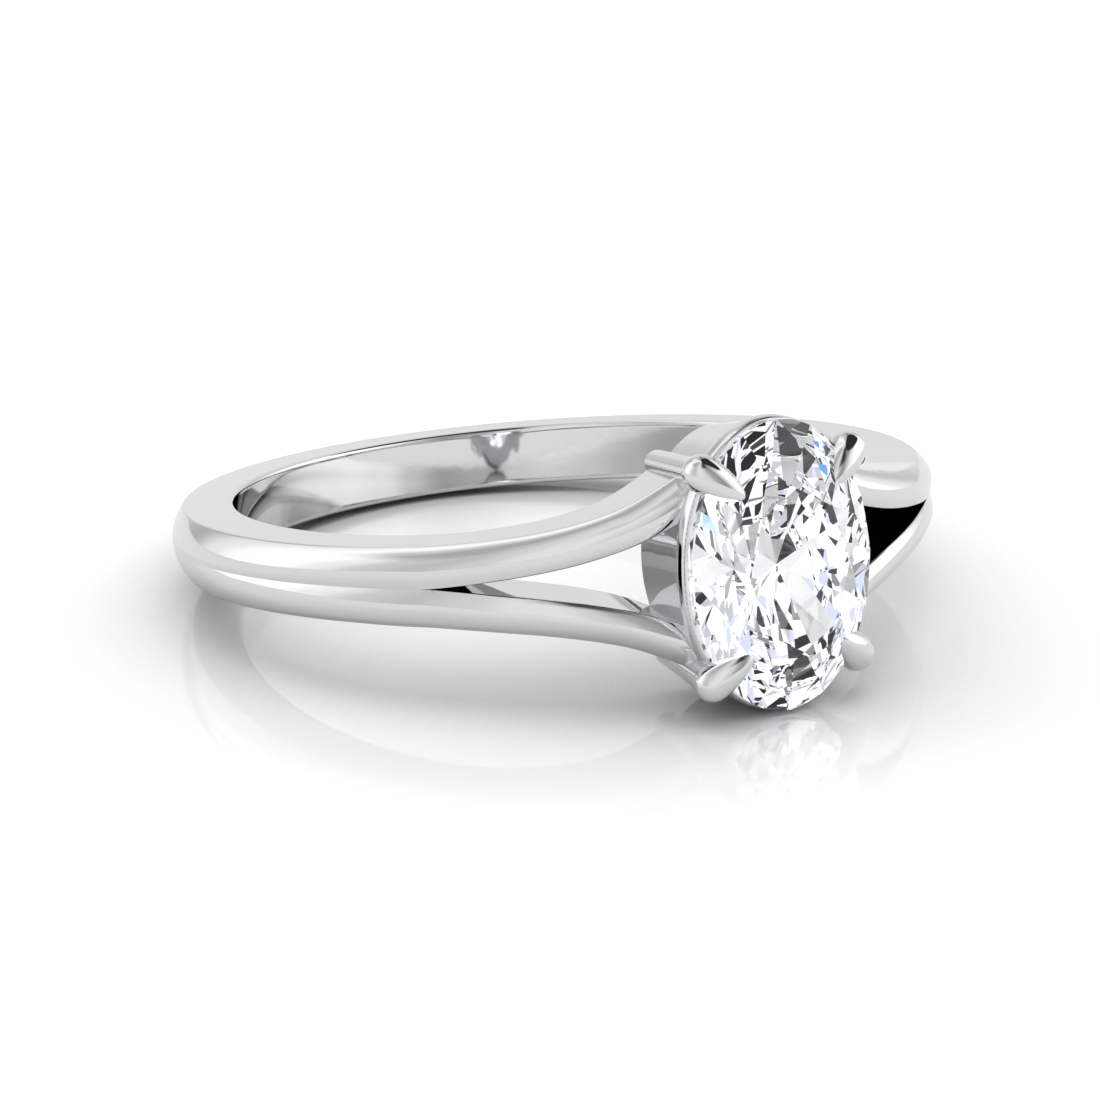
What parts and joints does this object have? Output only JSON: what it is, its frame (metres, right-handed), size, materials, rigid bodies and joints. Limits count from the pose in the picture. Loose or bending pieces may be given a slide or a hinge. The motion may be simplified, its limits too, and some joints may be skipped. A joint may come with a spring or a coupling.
{
  "type": "split shank ring",
  "caption": "Finger ring with a domed shank that splits in two rails at the shoulders, an oval rimmed head and a faceted oval stone held by claws.",
  "frame": {"origin": "on the surface that the ring lies on, below the middle of its bounding box", "axes": "the stone faces -Y; the finger hole's axis is close to +Z, tipped by the ring's rest; +X is across the ring"},
  "size_m": [0.0208, 0.0226, 0.0071],
  "materials": {
    "white_gold": "high polish, rhodium white",
    "clear_stone": "clear, faceted and polished"
  },
  "bodies": {
    "root": {"shank_with_head": "white_gold", "oval_stone": "clear_stone"}
  },
  "joints": []
}
